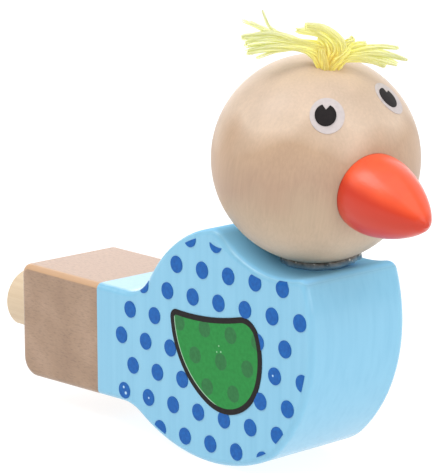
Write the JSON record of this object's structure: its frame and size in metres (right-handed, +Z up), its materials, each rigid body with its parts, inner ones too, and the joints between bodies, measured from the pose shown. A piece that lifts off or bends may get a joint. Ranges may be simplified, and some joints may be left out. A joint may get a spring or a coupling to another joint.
{
  "type": "wooden bird whistle",
  "caption": "Toy whistle in the shape of a bird: a sawn wooden body with a drilled chamber and dowel mouthpiece, a ball head with a turned beak, and a knotted yarn tuft.",
  "frame": {"origin": "middle of the small sanded flat under the belly, on which the whistle stands", "axes": "+X from the mouthpiece to the beak, +Y to the bird's left, +Z up"},
  "size_m": [0.0941, 0.03, 0.0669],
  "materials": {
    "painted_body": "satin sky-blue paint over sanded wood, bare wood behind the paint line",
    "dowel_wood": "plain turned dowel, unpainted",
    "ball_wood": "clear satin lacquer over fine-grained turned wood",
    "beak_lacquer": "glossy orange-red paint over turned wood",
    "dried_glue": "dried clear wood glue",
    "yellow_yarn": "frayed yellow yarn",
    "white_print": "printed white paint",
    "black_print": "printed black paint",
    "blue_print": "printed blue paint",
    "green_print": "printed translucent green paint",
    "green_over_blue_print": "green paint over a blue dot"
  },
  "bodies": {
    "root": {"body": "painted_body", "mouthpiece": "dowel_wood", "head": "ball_wood", "beak": "beak_lacquer", "neck_pin": "dowel_wood", "neck_glue": "dried_glue", "yarn_tuft": "yellow_yarn", "eye_white_right": "white_print", "eye_white_left": "white_print", "pupil_right": "black_print", "pupil_left": "black_print", "polka_dots_right": "blue_print", "wing_right": "green_print", "wing_dots_right": "green_over_blue_print", "wing_outline_right": "black_print", "polka_dots_left": "blue_print", "wing_left": "green_print", "wing_dots_left": "green_over_blue_print", "wing_outline_left": "black_print"}
  },
  "joints": []
}
